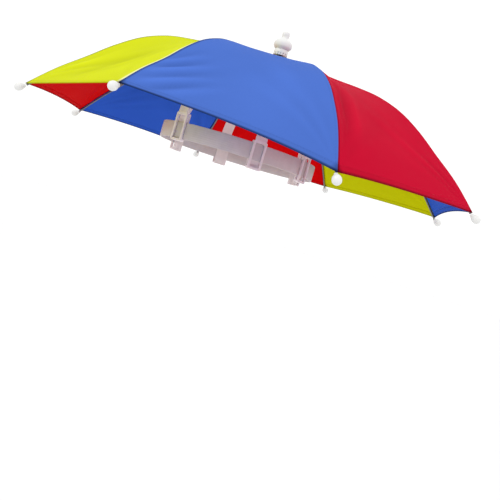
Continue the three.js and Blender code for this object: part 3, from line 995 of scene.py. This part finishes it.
class HAT_OT_ribs(bpy.types.Operator):
    """Draws the eight ribs under the seams"""

    bl_idname = "hat.ribs"
    bl_label = "Ribs"

    def execute(self, context):
        sizes = context.scene.hat_wires
        crown = Crown(context.scene.hat_canopy)
        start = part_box("notch")[1].x + GAP
        clear = sizes.rib_depth + sizes.rib / 2
        steel = steel_material("rib_steel", sizes.steel)
        for rib in range(len(RIBS)):
            shape = disc("rib_wire_" + str(rib + 1), sizes.rib)
            swept(shape, along_rib(crown, rib, sizes.rib_depth, start, 64, clear))
            dress(settle(shape, bevel=0.35 * MM), steel, "steel", "rib_" + str(rib + 1))
        return {"FINISHED"}


class HAT_OT_stretchers(bpy.types.Operator):
    """Models a stretcher and its fork under each rib"""

    bl_idname = "hat.stretchers"
    bl_label = "Stretchers"

    def execute(self, context):
        sizes = context.scene.hat_wires
        crown = Crown(context.scene.hat_canopy)
        half = sizes.rib / 2 + sizes.fork_gap
        wall = half + sizes.fork_wall
        base = half + sizes.stretcher + GAP
        fork = block("fork", (-sizes.fork / 2, -wall, -base), (sizes.fork / 2, wall, -half))
        for side in (-1, 1):
            edit(fork)
            bpy.ops.mesh.bisect(plane_co=(0, side * half, 0), plane_no=(0, 1, 0))
        pick_faces(fork, lambda centre, normal: normal.z > 0.9 and abs(centre.y) > half)
        bpy.ops.mesh.extrude_region_move(TRANSFORM_OT_translate={"value": (0, 0, half)})
        settle(fork, bevel=0.3 * MM)
        low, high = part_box("runner")
        start = Vector((high.x + GAP, 0, (low.z + high.z) / 2))
        place = crown.place_at(sizes.reach)
        steel = steel_material("stretcher_steel", sizes.steel)
        for rib in range(len(RIBS)):
            rib_centre, along = crown.under(rib, place, sizes.rib_depth)
            slope = Matrix.Rotation(-math.atan2(along.z, along.x), 4, "Y")
            name = str(rib + 1)
            shape = copied(fork, "stretcher_wire_" + name, Matrix.Translation(rib_centre) @ slope)
            foot = crown.under(rib, place, sizes.rib_depth + base - sizes.stretcher / 2 - GAP / 2)[0]
            combine(shape, straight_wire("wire", sizes.stretcher, start, foot), "UNION")
            settle(shape).data.transform(rib_turn(rib))
            dress(shape, steel, "steel", "stretcher_" + name)
        bpy.data.objects.remove(fork)
        return {"FINISHED"}


class HAT_OT_caps(bpy.types.Operator):
    """Turns one end cap and sets it on each rib"""

    bl_idname = "hat.caps"
    bl_label = "End caps"

    def execute(self, context):
        sizes = context.scene.hat_fittings
        crown = Crown(context.scene.hat_canopy)
        outline = [(r * sizes.cap / 2, a * sizes.cap_length) for a, r in smoothed(CAP, 3)]
        outline[-1] = (0, sizes.cap_length)
        cap = settle(turned("cap", outline, 36), angle=50)
        plastic = plastic_material("cap_plastic", sizes.plastic)
        clear = GAP + outline[0][0] * math.sin(sizes.cap_tilt)
        tilt = Matrix.Translation((0, 0, clear)) @ Matrix.Rotation(-sizes.cap_tilt, 4, "X")
        depth = context.scene.hat_wires.rib_depth
        for rib in range(len(RIBS)):
            end = along_rib(crown, rib, depth, crown.sizes.radius / 2, 2)[-1]
            shape = copied(cap, "end_cap_" + str(rib + 1), end @ tilt)
            dress(shape, plastic, "plastic", "cap_" + str(rib + 1))
        bpy.data.objects.remove(cap)
        return {"FINISHED"}


class HAT_OT_knob(bpy.types.Operator):
    """Turns the knob on top, with slots round its collar"""

    bl_idname = "hat.knob"
    bl_label = "Knob"

    def execute(self, context):
        sizes = context.scene.hat_fittings
        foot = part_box("finial")[0].z
        shares = list(COLLAR) + smoothed(BULB, 3)[1:]
        outline = [(r * sizes.knob / 2, foot + s * sizes.knob_height) for s, r in shares]
        outline[-1] = (0, foot + sizes.knob_height)
        shape = turned("knob", outline, 6 * FLUTES)
        edit(shape)
        slot_top = foot + COLLAR[1][0] * sizes.knob_height

        def slotted(centre, normal):
            turn = math.atan2(centre.y, centre.x) / (2 * math.pi) * FLUTES % 1
            return centre.z < slot_top and abs(normal.z) < 0.5 and turn < 1 / 3

        pick_faces(shape, slotted)
        bpy.ops.mesh.extrude_region_move()
        ratio = 1 - sizes.flute / (COLLAR[0][1] * sizes.knob / 2)
        bpy.ops.transform.resize(value=(ratio, ratio, 1), center_override=(0, 0, foot))
        rest()
        settle(shape, bevel=0.12 * MM, segments=1, angle=40)
        dress(shape, plastic_material("knob_plastic", sizes.plastic), "plastic", "finial")
        return {"FINISHED"}


class HAT_OT_shaft(bpy.types.Operator):
    """Turns the shaft, the notch, the runner and the hub on the axis"""

    bl_idname = "hat.shaft"
    bl_label = "Shaft fittings"

    def execute(self, context):
        plastic = plastic_material("fitting_plastic", context.scene.hat_fittings.plastic)
        steel = steel_material("shaft_steel", context.scene.hat_wires.steel)
        groove, depth, cut = 1.2 * MM, 0.8 * MM, 0.5 * MM
        for node in ("notch", "runner"):
            low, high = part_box(node)
            edge, middle = high.x, (low.z + high.z) / 2
            lower = [
                (BORE, low.z),
                (edge - cut, low.z),
                (edge, low.z + cut),
                (edge, middle - 2 * groove),
                (edge - depth, middle - groove),
            ]
            outline = mirrored(lower, low.z, high.z) + lower[:1]
            shape = settle(turned(node + "_ring", outline, 64, ring=True), bevel=0.15 * MM)
            dress(shape, plastic, "plastic", node)
        low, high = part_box("hub")
        edge, top, rim, boss, slope = high.x, high.z, 4 * MM, 8 * MM, 0.6 * MM
        outline = [
            (edge - depth, low.z),
            (edge, low.z + depth),
            (edge, top - depth),
            (edge - depth, top),
            (edge - rim, top),
            (edge - rim - slope, top - depth),
            (boss, top - depth),
            (boss - slope, top),
            (0, top),
        ]
        dress(settle(turned("hub_disc", outline, 72), bevel=0.12 * MM), plastic, "plastic", "hub")
        low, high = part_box("shaft")
        cut = 0.4 * MM
        outline = mirrored([(SHAFT_RADIUS - cut, low.z), (SHAFT_RADIUS, low.z + cut)], low.z, high.z)
        dress(settle(turned("shaft_tube", outline, 40)), steel, "steel", "shaft")
        return {"FINISHED"}


class HAT_OT_arms(bpy.types.Operator):
    """Draws the six strap arms down to their buckles"""

    bl_idname = "hat.arms"
    bl_label = "Arms"

    def execute(self, context):
        sizes = context.scene.hat_harness
        model = buckle(sizes)
        strap = strap_material("arm_plastic", sizes.strap)
        for name, degrees, hang in ARMS:
            places, seat = arm_places(sizes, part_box("hub")[0].z, degrees, hang)
            shape = plate("strap_" + name, sizes.arm, sizes.arm_wall, 0.7 * MM)
            swept(shape, places)
            settle(shape)
            combine(shape, settle(copied(model, "buckle_" + name, seat)), "UNION")
            mark_thickness(settle(shape, bevel=0.25 * MM, angle=40), sizes, seat)
            dress(shape, strap, "strap", "arm_" + name)
        bpy.data.objects.remove(model)
        return {"FINISHED"}


class HAT_OT_band(bpy.types.Operator):
    """Shapes the oval headband"""

    bl_idname = "hat.band"
    bl_label = "Headband"

    def execute(self, context):
        sizes = context.scene.hat_harness
        x, y = oval_radii(sizes)
        rest()
        foot = (0, -sizes.forward, -sizes.band / 2)
        bpy.ops.mesh.primitive_circle_add(vertices=180, radius=1, location=foot)
        shape = added("band")
        shape.scale = (x, y, 1)
        bpy.ops.object.transform_apply()
        settle(raised(shape, sizes.band, "EDGE"))
        modify(shape, "SOLIDIFY", thickness=sizes.band_wall, offset=-1, use_even_offset=True)
        settle(shape, bevel=0.4 * MM, segments=3)
        levels = np.array([vertex.co.z for vertex in shape.data.vertices])
        mark(shape.data, "edge", np.abs(levels) > sizes.band / 2 - 0.6 * MM)
        dress(shape, strap_material("band_plastic", sizes.strap, 2.2 * MM), "strap", "headband")
        return {"FINISHED"}


class HAT_OT_stage(bpy.types.Operator):
    """Sets the pale floor, the soft lights and the camera"""

    bl_idname = "hat.stage"
    bl_label = "Stage"

    def execute(self, context):
        scene = context.scene
        sizes = scene.hat_studio
        bpy.ops.mesh.primitive_plane_add(size=60, location=(0, 0, sizes.floor))
        floor = added("floor")
        floor.data.materials.append(backdrop_material("floor_paper", sizes.backdrop))
        bpy.ops.object.camera_add()
        camera = bpy.context.object
        camera.data.lens = sizes.lens
        camera.data.clip_start = 0.01
        camera.data.clip_end = 200
        right = Vector((0.62869, 0.72476, 0.28194))
        upward = Vector((-0.22463, -0.17784, 0.95808))
        spot = (0.6768, -0.5647, -0.0597)
        camera.matrix_world = placed(right, upward, right.cross(upward), spot)
        scene.camera = camera
        for name, power, spread, spot in (
            ("key", sizes.key, 1.2, (-0.2, -1.5, 1.5)),
            ("fill", sizes.fill, 1.5, (1.6, -0.2, 0.7)),
        ):
            bpy.ops.object.light_add(type="AREA", location=spot)
            light = added(name)
            light.data.energy = power
            light.data.size = spread
            light.rotation_euler = (-Vector(spot)).to_track_quat("-Z", "Y").to_euler()
        world = bpy.data.worlds.new("studio")
        world.use_nodes = True
        world.node_tree.nodes["Background"].inputs["Color"].default_value = (1, 1, 1, 1)
        world.node_tree.nodes["Background"].inputs["Strength"].default_value = 1.12
        scene.world = world
        scene.view_settings.view_transform = "Standard"
        return {"FINISHED"}


OPERATORS = (
    HAT_OT_stage,
    HAT_OT_cloth,
    HAT_OT_ribs,
    HAT_OT_stretchers,
    HAT_OT_caps,
    HAT_OT_knob,
    HAT_OT_shaft,
    HAT_OT_arms,
    HAT_OT_band,
)
GROUPS = {
    "hat_canopy": HatCanopy,
    "hat_wires": HatWires,
    "hat_fittings": HatFittings,
    "hat_harness": HatHarness,
    "hat_studio": HatStudio,
}


class HAT_PT_sidebar(bpy.types.Panel):
    """The hat's pieces and sizes in the sidebar"""

    bl_idname = "HAT_PT_sidebar"
    bl_label = "Umbrella hat"
    bl_space_type = "VIEW_3D"
    bl_region_type = "UI"
    bl_category = "Umbrella hat"

    def draw(self, context):
        for operator in OPERATORS:
            self.layout.operator(operator.bl_idname)
        for name, group in GROUPS.items():
            box = self.layout.box()
            box.label(text=group.__doc__)
            for key in group.__annotations__:
                box.prop(getattr(context.scene, name), key)


def register():
    for name, group in GROUPS.items():
        bpy.utils.register_class(group)
        setattr(bpy.types.Scene, name, PointerProperty(type=group))
    for cls in (*OPERATORS, HAT_PT_sidebar):
        bpy.utils.register_class(cls)


def unregister():
    for cls in (HAT_PT_sidebar, *reversed(OPERATORS)):
        bpy.utils.unregister_class(cls)
    for name, group in GROUPS.items():
        delattr(bpy.types.Scene, name)
        bpy.utils.unregister_class(group)


def main():
    """Registers the add-on and builds every piece in order."""
    register()
    for operator in OPERATORS:
        kind, name = operator.bl_idname.split(".")
        getattr(getattr(bpy.ops, kind), name)()


if __name__ == "__main__":
    main()
